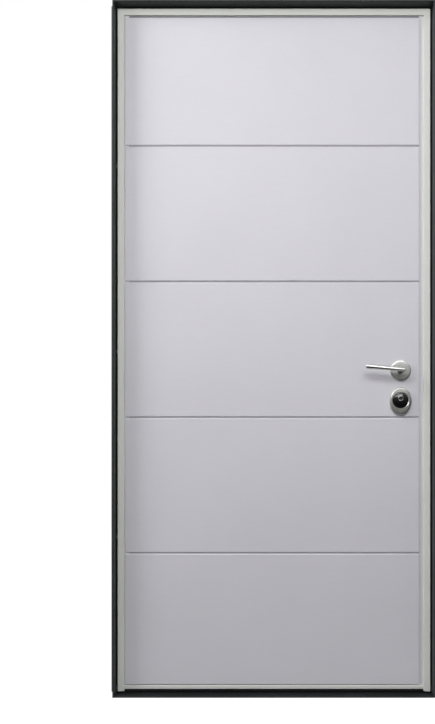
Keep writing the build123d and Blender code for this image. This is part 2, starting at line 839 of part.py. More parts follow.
plug_shaft = (inner_face_y - panel_face_y) / 2 - running_gap
with BuildPart() as key_plug:
    plug_axis = Plane(origin=(handle_x, panel_face_y, plug_z), x_dir=(1, 0, 0), z_dir=(0, 0, 1))
    with BuildSketch(plug_axis):
        with BuildLine():
            Polyline(
                (0, plug_shaft),
                (plug_diameter / 2, plug_shaft),
                (plug_diameter / 2, 0),
                (plug_head_diameter / 2, 0),
                (plug_head_diameter / 2, -plug_head_height + plug_rim),
                (plug_head_diameter / 2 - plug_rim, -plug_head_height),
                (0, -plug_head_height),
                close=True,
            )
        make_face()
    revolve(axis=Axis((handle_x, 0, plug_z), (0, 1, 0)))
    with BuildSketch(Plane.XZ.offset(-(panel_face_y - plug_head_height))):
        with Locations((handle_x, plug_z)):
            Rectangle(keyway_width, keyway_height, rotation=keyway_turn)
    extrude(amount=-keyway_depth, mode=Mode.SUBTRACT)
save_pair(key_plug, "key_plug")
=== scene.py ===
"""Dresses a steel security door: handle set, cylinder guard, screws, finishes and studio."""

import json
import math

import bmesh
import bpy
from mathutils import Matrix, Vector


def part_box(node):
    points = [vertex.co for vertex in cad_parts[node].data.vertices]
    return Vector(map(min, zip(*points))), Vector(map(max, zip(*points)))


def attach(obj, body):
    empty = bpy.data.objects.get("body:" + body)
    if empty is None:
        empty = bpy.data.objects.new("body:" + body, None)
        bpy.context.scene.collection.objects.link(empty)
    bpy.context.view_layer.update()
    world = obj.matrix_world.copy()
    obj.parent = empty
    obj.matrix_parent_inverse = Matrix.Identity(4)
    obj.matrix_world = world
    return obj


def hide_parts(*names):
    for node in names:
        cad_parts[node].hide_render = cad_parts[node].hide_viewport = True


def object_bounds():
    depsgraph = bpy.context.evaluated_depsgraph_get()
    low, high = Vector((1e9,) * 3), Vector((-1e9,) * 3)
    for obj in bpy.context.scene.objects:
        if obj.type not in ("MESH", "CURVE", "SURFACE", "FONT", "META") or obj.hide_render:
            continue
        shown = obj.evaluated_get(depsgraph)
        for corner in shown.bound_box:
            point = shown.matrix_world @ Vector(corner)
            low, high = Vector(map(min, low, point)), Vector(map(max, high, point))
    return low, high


bl_info = {
    "name": "Security Door Dressing",
    "version": (1, 0, 0),
    "blender": (4, 5, 0),
    "location": "3D View > Sidebar > Door",
    "description": "Models a security door's visible hardware and gives every piece its finish",
    "category": "Add Mesh",
}

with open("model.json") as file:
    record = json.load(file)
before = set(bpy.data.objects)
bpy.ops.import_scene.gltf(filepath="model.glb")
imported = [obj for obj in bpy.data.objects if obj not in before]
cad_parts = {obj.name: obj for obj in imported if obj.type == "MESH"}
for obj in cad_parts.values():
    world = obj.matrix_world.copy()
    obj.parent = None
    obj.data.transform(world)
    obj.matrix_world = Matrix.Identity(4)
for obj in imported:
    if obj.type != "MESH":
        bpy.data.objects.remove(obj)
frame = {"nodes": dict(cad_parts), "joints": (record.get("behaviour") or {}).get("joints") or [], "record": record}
cad_low, cad_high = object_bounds()

MM = 0.001
OUTDOORS = -1
INDOORS = 1
JOINTS = {joint["name"]: joint for joint in frame["joints"]}
HANDLE_PLACE = Vector(JOINTS["handle_turn"]["pos_m"])
PLUG_PLACE = Vector(JOINTS["key_plug_turn"]["pos_m"])
SIDES = {"outer": OUTDOORS, "inner": INDOORS}

# where the panels' recessed margin begins, from the middle and above the floor; the painted shade in the recesses
# stops at the side margins and doubles in the top margin
RECESS_SIDE = 443 * MM
RECESS_TOP = 2066.5 * MM
# the key plug's sunk face is darkened inside this radius, as painted shade
PLUG_FACE_RADIUS = 6.3 * MM

# the main faceplate's screws, and the screws above and below each small bolt
MAIN_PLATE_SCREWS = (826 * MM, 954 * MM, 1024 * MM)
BOLT_SCREW_OFFSET = 24 * MM

HINGE_LEAF_PLANE = 58 * MM
HINGE_LEAF_SCREWS = (-61 * MM, -43 * MM, 43 * MM, 61 * MM)
HINGE_FRAME_PLANE = -497.5 * MM
HINGE_FRAME_LINE = 42 * MM
HINGE_FRAME_SCREWS = (-55 * MM, -19 * MM, 19 * MM, 55 * MM)

ANCHOR_LINE = 10 * MM
ANCHOR_PLACES = (-390 * MM, -130 * MM, 130 * MM, 390 * MM)

# the jambs' visible faces from the middle, and the wall fixing holes in them
REVEAL = 482.5 * MM
CAP_LINE = 8 * MM
CAP_HEIGHTS = (190 * MM, 770 * MM, 1350 * MM, 1930 * MM)


# Sizes and colours that a user may change


class DoorSizes(bpy.types.PropertyGroup):
    """Sizes of the handle set, the cylinder guard and the small fasteners"""

    rose_round: bpy.props.FloatProperty(
        name="Rose rim", description="Radius of the rose's rounded rim",
        default=2.6 * MM, unit="LENGTH",
    )
    rose_collar: bpy.props.FloatProperty(
        name="Rose collar", description="Width of the turned step round the lever's neck",
        default=2.2 * MM, unit="LENGTH",
    )
    lever_root: bpy.props.FloatProperty(
        name="Lever root", description="Height of the lever bar's oval section at its neck",
        default=12 * MM, unit="LENGTH",
    )
    lever_tip: bpy.props.FloatProperty(
        name="Lever tip", description="Height of the lever bar's oval section at its tip",
        default=14 * MM, unit="LENGTH",
    )
    neck_top: bpy.props.FloatProperty(
        name="Neck", description="Diameter of the lever's neck where it meets the bar",
        default=14 * MM, unit="LENGTH",
    )
    plate_bevel: bpy.props.FloatProperty(
        name="Guard edge", description="Radius of the cylinder guard's rounded outer edge",
        default=4.2 * MM, unit="LENGTH",
    )
    guard_ring: bpy.props.FloatProperty(
        name="Guard ring", description="Width of the bevelled ring round the black disc",
        default=2 * MM, unit="LENGTH",
    )
    dome_rise: bpy.props.FloatProperty(
        name="Dome rise", description="How far the black disc's dome rises above its edge",
        default=3.5 * MM, unit="LENGTH",
    )
    keyway_width: bpy.props.FloatProperty(
        name="Keyway width", description="Width of the keyway",
        default=2.8 * MM, unit="LENGTH",
    )
    keyway_height: bpy.props.FloatProperty(
        name="Keyway height", description="Height of the keyway",
        default=9 * MM, unit="LENGTH",
    )
    keyway_turn: bpy.props.FloatProperty(
        name="Keyway turn", description="How far the keyway leans from upright",
        default=math.radians(25), subtype="ANGLE",
    )
    screw_proud: bpy.props.FloatProperty(
        name="Screw height", description="How far a countersunk screw stands above its plate",
        default=0.25 * MM, unit="LENGTH",
    )


def colour(name, description, default):
    return bpy.props.FloatVectorProperty(
        name=name, description=description, default=default, subtype="COLOR", size=3,
        min=0, max=1,
    )


class DoorColours(bpy.types.PropertyGroup):
    """Base colours of the finishes"""

    panel: colour("Panel", "Lacquer of the grooved panels", (0.62, 0.61, 0.655))
    trim: colour("Trims", "Paint of the retaining trims", (0.67, 0.68, 0.64))
    # near white of the painted highlight on the trims' outer edges
    trim_highlight: colour("Trim highlights", "Painted highlight on the trims' outer edges", (0.93, 0.93, 0.9))
    frame_paint: colour("Frame", "Powder coat of the frame", (0.041, 0.0455, 0.0445))
    # the threshold's powder coat is darker than the frame's, as painted shade
    tread: colour("Tread", "Scuffed powder coat of the threshold, darkened as painted shade", (0.013, 0.0145, 0.0155))
    # the leaf's dark primer is darkened further, as painted shade for the recess under the bottom trim
    leaf_paint: colour("Leaf", "Dark primer of the leaf's steel box, darker still as painted shade", (0.018, 0.019, 0.021))
    steel: colour("Satin steel", "Levers and roses", (0.49, 0.49, 0.475))
    nickel: colour("Satin nickel", "Cylinder guard", (0.41, 0.415, 0.39))
    guard: colour("Guard disc", "Gloss black of the guard disc", (0.006, 0.006, 0.007))
    polished: colour("Polished metal", "Key plug and cylinder", (0.72, 0.71, 0.67))
    zinc: colour("Zinc", "Bolts, hinges and fasteners", (0.4, 0.41, 0.43))
    rubber: colour("Rubber", "Seals and hole caps", (0.014, 0.014, 0.015))


def sizes():
    return bpy.context.scene.door_sizes


def colours():
    return bpy.context.scene.door_colours


# Finishes


def new_material(name):
    """A material with a shader, ready for its texture nodes."""
    material = bpy.data.materials.new(name)
    material.use_nodes = True
    tree = material.node_tree
    return material, tree, tree.nodes["Principled BSDF"]


def add_node(tree, kind, **values):
    """A node with its settings and its input values by name."""
    node = tree.nodes.new(kind)
    for key, value in values.items():
        if key in node.inputs:
            node.inputs[key].default_value = value
        else:
            setattr(node, key, value)
    return node


def fill_inputs(tree, node, values):
    """Links or sets a node's inputs in order, by what each value is."""
    for number, value in enumerate(values):
        if isinstance(value, bpy.types.NodeSocket):
            tree.links.new(value, node.inputs[number])
        else:
            node.inputs[number].default_value = value


def maths(tree, operation, *values):
    """A maths node's result; each value is another node's output or a plain number."""
    node = add_node(tree, "ShaderNodeMath", operation=operation)
    fill_inputs(tree, node, values)
    return node.outputs["Value"]


def vector_maths(tree, operation, *values, result="Vector"):
    """A vector maths node's result; each value is another node's output or a plain vector."""
    node = add_node(tree, "ShaderNodeVectorMath", operation=operation)
    fill_inputs(tree, node, values)
    return node.outputs[result]


def split_axes(tree, vector):
    node = tree.nodes.new("ShaderNodeSeparateXYZ")
    tree.links.new(vector, node.inputs["Vector"])
    return node.outputs


def blend(tree, share, first, second):
    """The first colour, an output, going over to the second, a plain colour, by a share."""
    node = add_node(tree, "ShaderNodeMix", data_type="RGBA")
    tree.links.new(share, node.inputs["Factor"])
    tree.links.new(first, node.inputs[6])
    node.inputs[7].default_value = (*second, 1)
    return node.outputs[2]


def object_space(tree, stretch=(1, 1, 1)):
    """Object coordinates in metres, stretched where the finish has a direction."""
    source = tree.nodes.new("ShaderNodeTexCoord")
    mapping = add_node(tree, "ShaderNodeMapping", Scale=stretch)
    tree.links.new(source.outputs["Object"], mapping.inputs["Vector"])
    return mapping.outputs["Vector"]


def noise(tree, space, scale, detail=3.0, roughness=0.55):
    node = add_node(tree, "ShaderNodeTexNoise", Scale=scale, Detail=detail, Roughness=roughness)
    tree.links.new(space, node.inputs["Vector"])
    return node.outputs["Fac"]


def remap(tree, value, low, high, from_low=0.3, from_high=0.7):
    node = tree.nodes.new("ShaderNodeMapRange")
    tree.links.new(value, node.inputs["Value"])
    for key, number in (
        ("From Min", from_low), ("From Max", from_high), ("To Min", low), ("To Max", high),
    ):
        node.inputs[key].default_value = number
    return node.outputs["Result"]


def tint(tree, value, base, spread):
    """The base colour, lighter and darker by the spread as the value runs from 0 to 1."""
    ramp = tree.nodes.new("ShaderNodeValToRGB")
    ramp.color_ramp.elements[0].position = 0.3
    ramp.color_ramp.elements[1].position = 0.7
    ramp.color_ramp.elements[0].color = (*[channel * (1 - spread) for channel in base], 1)
    ramp.color_ramp.elements[1].color = (*[min(1, channel * (1 + spread)) for channel in base], 1)
    tree.links.new(value, ramp.inputs["Fac"])
    return ramp.outputs["Color"]


def bump(tree, shader, height, strength, distance):
    node = add_node(tree, "ShaderNodeBump", Strength=strength, Distance=distance)
    tree.links.new(height, node.inputs["Height"])
    tree.links.new(node.outputs["Normal"], shader.inputs["Normal"])


def add_peel(tree, shader, space, rough, scale=450.0):
    """The fine peel of sprayed paint, in its roughness and in its surface."""
    fine = noise(tree, space, scale, detail=2.0)
    tree.links.new(remap(tree, fine, rough - 0.04, rough + 0.04), shader.inputs["Roughness"])
    bump(tree, shader, fine, 0.5, 0.02 * MM)


def paint(name, base, rough, spread, peel=450.0, sheen=0.35):
    """Powder coat, primer or rubber: faint clouds in its colour, fine peel in its surface."""
    material, tree, shader = new_material(name)
    space = object_space(tree)
    clouds = noise(tree, space, 6.0, detail=4.0)
    tree.links.new(tint(tree, clouds, base, spread), shader.inputs["Base Color"])
    add_peel(tree, shader, space, rough, peel)
    shader.inputs["Specular IOR Level"].default_value = sheen
    return material


def paint_with_edge_highlight(name, base, edge, rough, middle):
    """Paint with a painted highlight on its rounded outer edges, away from the middle, and on a thin strip along
    the side trims' outer edges.
    """
    material, tree, shader = new_material(name)
    space = object_space(tree)
    clouds = noise(tree, space, 6.0, detail=4.0)
    normal = tree.nodes.new("ShaderNodeTexCoord").outputs["Normal"]
    away = vector_maths(tree, "SUBTRACT", space, tuple(middle))
    outwards = vector_maths(tree, "MULTIPLY", vector_maths(tree, "SIGN", away), (1, 0, 1))
    facing = vector_maths(tree, "DOT_PRODUCT", normal, outwards, result="Value")
    # painted highlight: the rounded edges facing away from the middle, and a thin strip at the side trims' outer
    # edges, go over to the edge colour
    rounded = remap(tree, facing, 0.0, 1.0, 0.08, 0.4)
    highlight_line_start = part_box("outer_trim_lock_side")[1].x - middle.x - 3.6 * MM
    across = split_axes(tree, vector_maths(tree, "ABSOLUTE", away))["X"]
    line = remap(tree, across, 0.0, 0.85, highlight_line_start, highlight_line_start + 0.6 * MM)
    highlight_share = maths(tree, "MAXIMUM", rounded, line)
    highlighted_colour = blend(tree, highlight_share, tint(tree, clouds, base, 0.02), edge)
    tree.links.new(highlighted_colour, shader.inputs["Base Color"])
    add_peel(tree, shader, space, rough)
    return material


def lacquer(name, base):
    """Satin lacquer on a board: fine level grain, and painted shade in the grooves and margins, stronger in the
    top margin.
    """
    material, tree, shader = new_material(name)
    space = object_space(tree)
    streaks = noise(tree, object_space(tree, (14, 14, 240)), 3.0, detail=5.0, roughness=0.65)
    clouds = noise(tree, space, 3.0, detail=3.0)
    grain = noise(tree, space, 900.0, detail=2.0)
    both = maths(tree, "ADD", remap(tree, streaks, 0.0, 0.5), remap(tree, clouds, 0.0, 0.5))

    # the painted shade lies below the panels' faces, between the side margins, twice as strong at the top
    outer_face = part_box("outer_panel")[0].y
    inner_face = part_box("inner_panel")[1].y
    face = (inner_face - outer_face) / 2
    axes = split_axes(tree, space)
    centred = maths(tree, "SUBTRACT", axes["Y"], (outer_face + inner_face) / 2)
    depth = maths(tree, "ABSOLUTE", centred)
    recess_shade = remap(tree, depth, 0.4, 0.0, face - 3 * MM, face - 0.6 * MM)
    aside = maths(tree, "ABSOLUTE", axes["X"])
    inside = remap(tree, aside, 1.0, 0.0, RECESS_SIDE - 0.5 * MM, RECESS_SIDE + 0.5 * MM)
    high = remap(tree, axes["Z"], 1.0, 2.0, RECESS_TOP - MM, RECESS_TOP + MM)
    share = maths(tree, "MULTIPLY", recess_shade, maths(tree, "MULTIPLY", inside, high))
    # the colour of the painted shade
    dark = [channel * 0.25 for channel in base]
    shaded_panel_colour = blend(tree, share, tint(tree, both, base, 0.018), dark)
    tree.links.new(shaded_panel_colour, shader.inputs["Base Color"])
    tree.links.new(remap(tree, grain, 0.46, 0.56), shader.inputs["Roughness"])
    bump(tree, shader, grain, 0.35, 0.012 * MM)
    return material


def brushed(name, base, rough, stretch):
    """Satin metal with fine drawn lines along one direction."""
    material, tree, shader = new_material(name)
    shader.inputs["Metallic"].default_value = 1.0
    lined = noise(tree, object_space(tree, stretch), 60.0, detail=4.0, roughness=0.7)
    clouds = noise(tree, object_space(tree), 35.0, detail=2.0)
    tree.links.new(tint(tree, clouds, base, 0.05), shader.inputs["Base Color"])
    tree.links.new(remap(tree, lined, rough - 0.05, rough + 0.07), shader.inputs["Roughness"])
    bump(tree, shader, lined, 0.4, 0.004 * MM)
    return material


def turned_metal(name, base, rough, centre, shade_radius=0.0):
    """Satin metal with fine rings round an axis along Y, darkened inside a radius as painted shade."""
    material, tree, shader = new_material(name)
    shader.inputs["Metallic"].default_value = 1.0
    source = tree.nodes.new("ShaderNodeTexCoord")
    mapping = add_node(
        tree, "ShaderNodeMapping", Location=(-centre.x, 0, -centre.z), Scale=(1, 0, 1)
    )
    tree.links.new(source.outputs["Object"], mapping.inputs["Vector"])
    radius = vector_maths(tree, "LENGTH", mapping.outputs["Vector"], result="Value")
    turning = add_node(tree, "ShaderNodeTexNoise", noise_dimensions="1D", Scale=5000.0, Detail=3.0)
    tree.links.new(radius, turning.inputs["W"])
    rings = turning.outputs["Fac"]
    clouds = noise(tree, object_space(tree), 40.0, detail=2.0)
    # painted shade: the metal goes dark inside the radius
    face_shade = remap(tree, radius, 0.85, 0.0, shade_radius - 0.3 * MM, shade_radius + 0.3 * MM)
    face_shaded_colour = blend(tree, face_shade, tint(tree, clouds, base, 0.05), (0.03, 0.03, 0.028))
    tree.links.new(face_shaded_colour, shader.inputs["Base Color"])
    tree.links.new(remap(tree, rings, rough - 0.04, rough + 0.06), shader.inputs["Roughness"])
    bump(tree, shader, rings, 0.35, 0.004 * MM)
    return material


def gloss(name, base, rough):
    """Deep gloss enamel with a few fine hairlines."""
    material, tree, shader = new_material(name)
    space = object_space(tree, (1, 1, 6))
    hairs = noise(tree, space, 260.0, detail=4.0, roughness=0.8)
    tree.links.new(tint(tree, hairs, base, 0.25), shader.inputs["Base Color"])
    tree.links.new(remap(tree, hairs, rough, rough + 0.07), shader.inputs["Roughness"])
    bump(tree, shader, hairs, 0.15, 0.002 * MM)
    shader.inputs["Specular IOR Level"].default_value = 0.3
    shader.inputs["Coat Weight"].default_value = 0.25
    shader.inputs["Coat Roughness"].default_value = 0.05
    return material


def build_finishes():
    """Every finish by the name of its slot, with the turned ones beside them."""
    tones = colours()
    return {
        "panel_lacquer": lacquer("Panel lacquer", tones.panel),
        # the trims' paint carries a painted highlight along their outer edges
        "trim_paint": paint_with_edge_highlight(
            "Trim paint", tones.trim, tones.trim_highlight, 0.6, (cad_low + cad_high) / 2
        ),
        "frame_paint": paint(
            "Frame powder coat", tones.frame_paint, 0.5, spread=0.1, sheen=0.15
        ),
        "shaded_tread_paint": paint("Scuffed tread paint with painted shade", tones.tread, 0.58, spread=0.3, sheen=0.2),
        "leaf_paint": paint("Leaf primer with painted shade", tones.leaf_paint, 0.5, spread=0.08),
        "satin_steel": brushed("Satin steel", tones.steel, 0.27, (1, 30, 30)),
        "satin_nickel": brushed("Satin nickel", tones.nickel, 0.33, (12, 12, 1.5)),
        "guard_black": gloss("Gloss black", tones.guard, 0.1),
        "cylinder_metal": brushed("Polished metal", tones.polished, 0.16, (30, 1, 30)),
        "zinc_steel": brushed("Zinc plate", tones.zinc, 0.36, (20, 20, 1)),
        "seal_rubber": paint("Seal rubber", tones.rubber, 0.62, peel=900.0, spread=0.12),
        "turned_rose": turned_metal("Turned rose steel", tones.steel, 0.3, HANDLE_PLACE),
        "turned_plug": turned_metal(
            "Turned plug metal", tones.polished, 0.18, PLUG_PLACE, PLUG_FACE_RADIUS
        ),
    }


finishes = {}


# Modelling helpers


def clear_selection():
    if bpy.context.object and bpy.context.object.mode != "OBJECT":
        bpy.ops.object.mode_set(mode="OBJECT")
    bpy.ops.object.select_all(action="DESELECT")


def select_only(piece):
    clear_selection()
    piece.select_set(True)
    bpy.context.view_layer.objects.active = piece


def open_piece(name):
    """Names the primitive just added and opens it in edit mode."""
    piece = bpy.context.object
    piece.name = name
    piece.data.name = name
    bpy.ops.object.mode_set(mode="EDIT")
    bpy.ops.mesh.select_mode(type="VERT")
    bpy.ops.mesh.select_all(action="SELECT")
    return piece


def pick(piece, kind, test):
    """Selects the vertices or faces that pass a test, by their place in the world."""
    bpy.ops.mesh.select_mode(type=kind)
    bpy.ops.mesh.select_all(action="DESELECT")
    mesh = bmesh.from_edit_mesh(piece.data)
    world = piece.matrix_world
    if kind == "FACE":
        chosen = [f for f in mesh.faces if test(world @ f.calc_center_median(), f.normal)]
    else:
        chosen = [v for v in mesh.verts if test(world @ v.co)]
    if not chosen:
        raise RuntimeError(f"nothing to select on {piece.name}")
    for element in chosen:
        element.select_set(True)
    mesh.select_flush_mode()
    bmesh.update_edit_mesh(piece.data)


def tidy_mesh():
    """Merges doubles and points every face outwards."""
    bpy.ops.mesh.select_all(action="SELECT")
    bpy.ops.mesh.remove_doubles(threshold=0.002 * MM)
    bpy.ops.mesh.normals_make_consistent(inside=False)


def apply_modifier(piece, kind, **values):
    modifier = piece.modifiers.new(kind.title(), kind)
    for key, value in values.items():
        setattr(modifier, key, value)
    bpy.context.view_layer.objects.active = piece
    bpy.ops.object.modifier_apply(modifier=modifier.name)


def combine(piece, other, operation):
    """Joins the other shape to the piece or cuts it out, and removes the other."""
    clear_selection()
    apply_modifier(piece, "BOOLEAN", operation=operation, solver="EXACT", object=other)
    bpy.data.objects.remove(other)
    if len(piece.data.polygons) < 8:
        raise RuntimeError(f"{piece.name} lost its faces")


def finish_piece(piece, body, slot, finish=None, stands_for=(), angle=32):
    """Puts a piece's place in its mesh, smooths it, and hands it to its body."""
    select_only(piece)
    bpy.ops.object.transform_apply(location=True, rotation=True, scale=True)
    bpy.ops.object.shade_smooth_by_angle(angle=math.radians(angle))
    piece.data.materials.clear()
    piece.data.materials.append(finishes[finish or slot])
    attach(piece, body)
    for node in stands_for:
        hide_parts(node)
    return piece


def copy_piece(piece, name, move):
    """A copy with its own mesh, moved by a vector."""
    twin = piece.copy()
    twin.data = piece.data.copy()
    twin.name = name
    twin.data.name = name
    bpy.context.scene.collection.objects.link(twin)
    select_only(twin)
    bpy.ops.transform.translate(value=move)
    return twin


def set_out(first, stem, places):
    """Copies the first of a group to the further places and moves it to its own."""
    copies = [
        copy_piece(first, f"{stem}_{number}", place)
        for number, place in enumerate(places[1:], 2)
    ]
    select_only(first)
    bpy.ops.transform.translate(value=places[0])
    return [first, *copies]


def turned(name, centre, base_y, out, profile, closed, steps=72):
    """A piece turned round an axis along Y, from radius and height pairs."""
    radius, height = profile[0]
    clear_selection()
    bpy.ops.mesh.primitive_plane_add(
        size=MM, location=(centre.x + radius, base_y + out * height, centre.z)
    )
    piece = open_piece(name)
    # merged to one vertex, which is drawn out along the profile
    bpy.ops.mesh.merge(type="CENTER")
    for (radius, height), (next_radius, next_height) in zip(profile, profile[1:]):
        step = (next_radius - radius, out * (next_height - height), 0)
        bpy.ops.mesh.extrude_region_move(TRANSFORM_OT_translate={"value": step})
    bpy.ops.mesh.select_all(action="SELECT")
    if closed:
        ends = [
            Vector((centre.x + radius, base_y + out * height, centre.z))
            for radius, height in (profile[0], profile[-1])
        ]
        pick(piece, "VERT", lambda p: min((p - end).length for end in ends) < 0.001 * MM)
        bpy.ops.mesh.edge_face_add()
        bpy.ops.mesh.select_all(action="SELECT")
    bpy.ops.mesh.spin(
        steps=steps, angle=2 * math.pi, center=(centre.x, base_y, centre.z), axis=(0, 1, 0)
    )
    tidy_mesh()
    bpy.ops.object.mode_set(mode="OBJECT")
    return piece


def arc(centre_radius, centre_height, size, start, end, steps=5):
    """Points on a quarter round or a part of one, as radius and height pairs."""
    points = []
    for step in range(steps + 1):
        angle = math.radians(start + (end - start) * step / steps)
        points.append((
            centre_radius + size * math.cos(angle), centre_height + size * math.sin(angle)
        ))
    return points


def base_plane(node, out):
    """The y of the face that a fitting stands on."""
    low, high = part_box(node)
    return high.y if out == OUTDOORS else low.y


# Operators, one for each piece or group of like pieces


class DOOR_OT_finishes(bpy.types.Operator):
    """Gives every steel, board and rubber piece its paint, plating or lacquer"""

    bl_idname = "door.finishes"
    bl_label = "Finishes"

    def execute(self, context):
        finishes.update(build_finishes())
        for part in frame["record"]["subparts"]:
            mesh = frame["nodes"][part["node"]].data
            mesh.materials.clear()
            mesh.materials.append(finishes[part["material_slot"]])
        # the threshold takes the darker tread paint, as painted shade
        frame["nodes"]["threshold"].data.materials[0] = finishes["shaded_tread_paint"]
        return {"FINISHED"}


class DOOR_OT_roses(bpy.types.Operator):
    """Turns the round roses with a rounded rim, a slight crown and a collar round the neck"""

    bl_idname = "door.roses"
    bl_label = "Roses"

    def execute(self, context):
        size = sizes()
        low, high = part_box("outer_rose")
        radius = (high.x - low.x) / 2
        height = high.y - low.y
        bore = 8.8 * MM
        rim = size.rose_round
        collar = size.rose_collar
        crown = radius - rim - bore - collar
        step = 0.5 * MM
        fall = 0.5 * MM
        chamfer = 0.4 * MM
        profile = [
            (bore, 0),
            (radius, 0),
            *arc(radius - rim, height - step - fall - rim, rim, 0, 84),
            *[
                (bore + collar + share * crown, height - step - fall * share**2)
                for share in (0.94, 0.7, 0.4, 0.15, 0.02)
            ],
            (bore + collar, height),
            (bore + chamfer, height),
            (bore, height - chamfer),
        ]
        for side, out in SIDES.items():
            node = f"{side}_rose"
            base_y = base_plane(node, out)
            piece = turned(f"{side}_turned_rose", HANDLE_PLACE, base_y, out, profile, True)
            finish_piece(piece, "leaf", "satin_steel", "turned_rose", [node])
        return {"FINISHED"}


def model_lever(side, out):
    """Oval bar drawn out from a short round, its rounded ends, and the turned neck."""
    size = sizes()
    node = f"{side}_lever"
    low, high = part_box(node)
    rose_low, rose_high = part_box(f"{side}_rose")
    rose_face = rose_low.y if out == OUTDOORS else rose_high.y
    tail_x = high.x
    length = high.x - low.x
    root_depth, root_height = 13 * MM, size.lever_root
    tip_depth, tip_height = 9 * MM, size.lever_tip
    rise = 10 * MM
    reach = low.y if out == OUTDOORS else high.y
    bar_y = reach - out * root_depth / 2
    start_z = HANDLE_PLACE.z - rise * (tail_x - HANDLE_PLACE.x) / length
    block = 4 * MM
    end_round = 3 * MM
    clear_selection()
    bpy.ops.mesh.primitive_cylinder_add(
        vertices=32,
        radius=0.5,
        depth=1,
        location=(tail_x - end_round - block / 2, bar_y, start_z),
        rotation=(0, math.radians(90), 0),
    )
    piece = open_piece(f"{side}_handle_lever")
    bpy.ops.object.mode_set(mode="OBJECT")
    bpy.ops.object.transform_apply(location=False, rotation=True, scale=False)
    piece.scale = (block, root_depth, root_height)
    bpy.ops.object.transform_apply(location=True, rotation=True, scale=True)
    bpy.ops.object.mode_set(mode="EDIT")

    def draw_out(dx, dz, grow_y, grow_z, centre):
        bpy.ops.mesh.extrude_region_move(TRANSFORM_OT_translate={"value": (dx, 0, dz)})
        place = centre + Vector((dx, 0, dz))
        bpy.ops.transform.resize(value=(1, grow_y, grow_z), center_override=place)
        return place

    # the tail's round end; the shares and scales follow an ellipse
    pick(piece, "FACE", lambda p, n: n.x > 0.9)
    place = Vector((tail_x - end_round, bar_y, start_z))
    for share, scale in ((0.4, 0.95), (0.3, 0.87), (0.2, 0.74), (0.1, 0.5)):
        place = draw_out(end_round * share, 0, scale, scale, place)

    # the bar towards the tip
    pick(piece, "FACE", lambda p, n: n.x < -0.9)
    place = Vector((tail_x - end_round - block, bar_y, start_z))
    steps = 14
    run = length - 2 * end_round - block
    depth, height = root_depth, root_height
    for step in range(steps):
        share = (step + 1) / steps
        next_depth = root_depth + (tip_depth - root_depth) * share
        next_height = root_height + (tip_height - root_height) * share
        place = draw_out(
            -run / steps, rise / steps, next_depth / depth, next_height / height, place
        )
        depth, height = next_depth, next_height
    for share, scale in ((0.4, 0.96), (0.3, 0.88), (0.2, 0.76), (0.1, 0.55)):
        place = draw_out(-end_round * share, 0, scale, scale, place)
    tidy_mesh()
    bpy.ops.object.mode_set(mode="OBJECT")

    base_y = base_plane(f"{side}_rose", out)
    face = abs(rose_face - base_y) + 0.3 * MM
    journal = 8.5 * MM
    foot = 10 * MM
    neck = size.neck_top / 2
    top = abs(bar_y - base_y) - 1.5 * MM
    profile = [
        (0, 0.3 * MM),
        (journal, 0.3 * MM),
        (journal, face),
        (foot - 0.6 * MM, face),
        (foot, face + 0.6 * MM),
        (foot - 0.3 * MM, face + 2 * MM),
        (neck + 1.4 * MM, face + 7 * MM),
        (neck + 0.5 * MM, face + 10 * MM),
        (neck, face + 14 * MM),
        (neck - 0.6 * MM, top - 6 * MM),
        (neck - 1.5 * MM, top),
        (0, top),
    ]
    neck_piece = turned(f"{side}_neck", HANDLE_PLACE, base_y, out, profile, False, steps=48)
    combine(piece, neck_piece, "UNION")
    return finish_piece(piece, "handle", "satin_steel", stands_for=[node], angle=38)


class DOOR_OT_levers(bpy.types.Operator):
    """Draws the tapered lever bars out of short rounds and joins them to their necks"""

    bl_idname = "door.levers"
    bl_label = "Levers"

    def execute(self, context):
        for side, out in SIDES.items():
            model_lever(side, out)
        return {"FINISHED"}


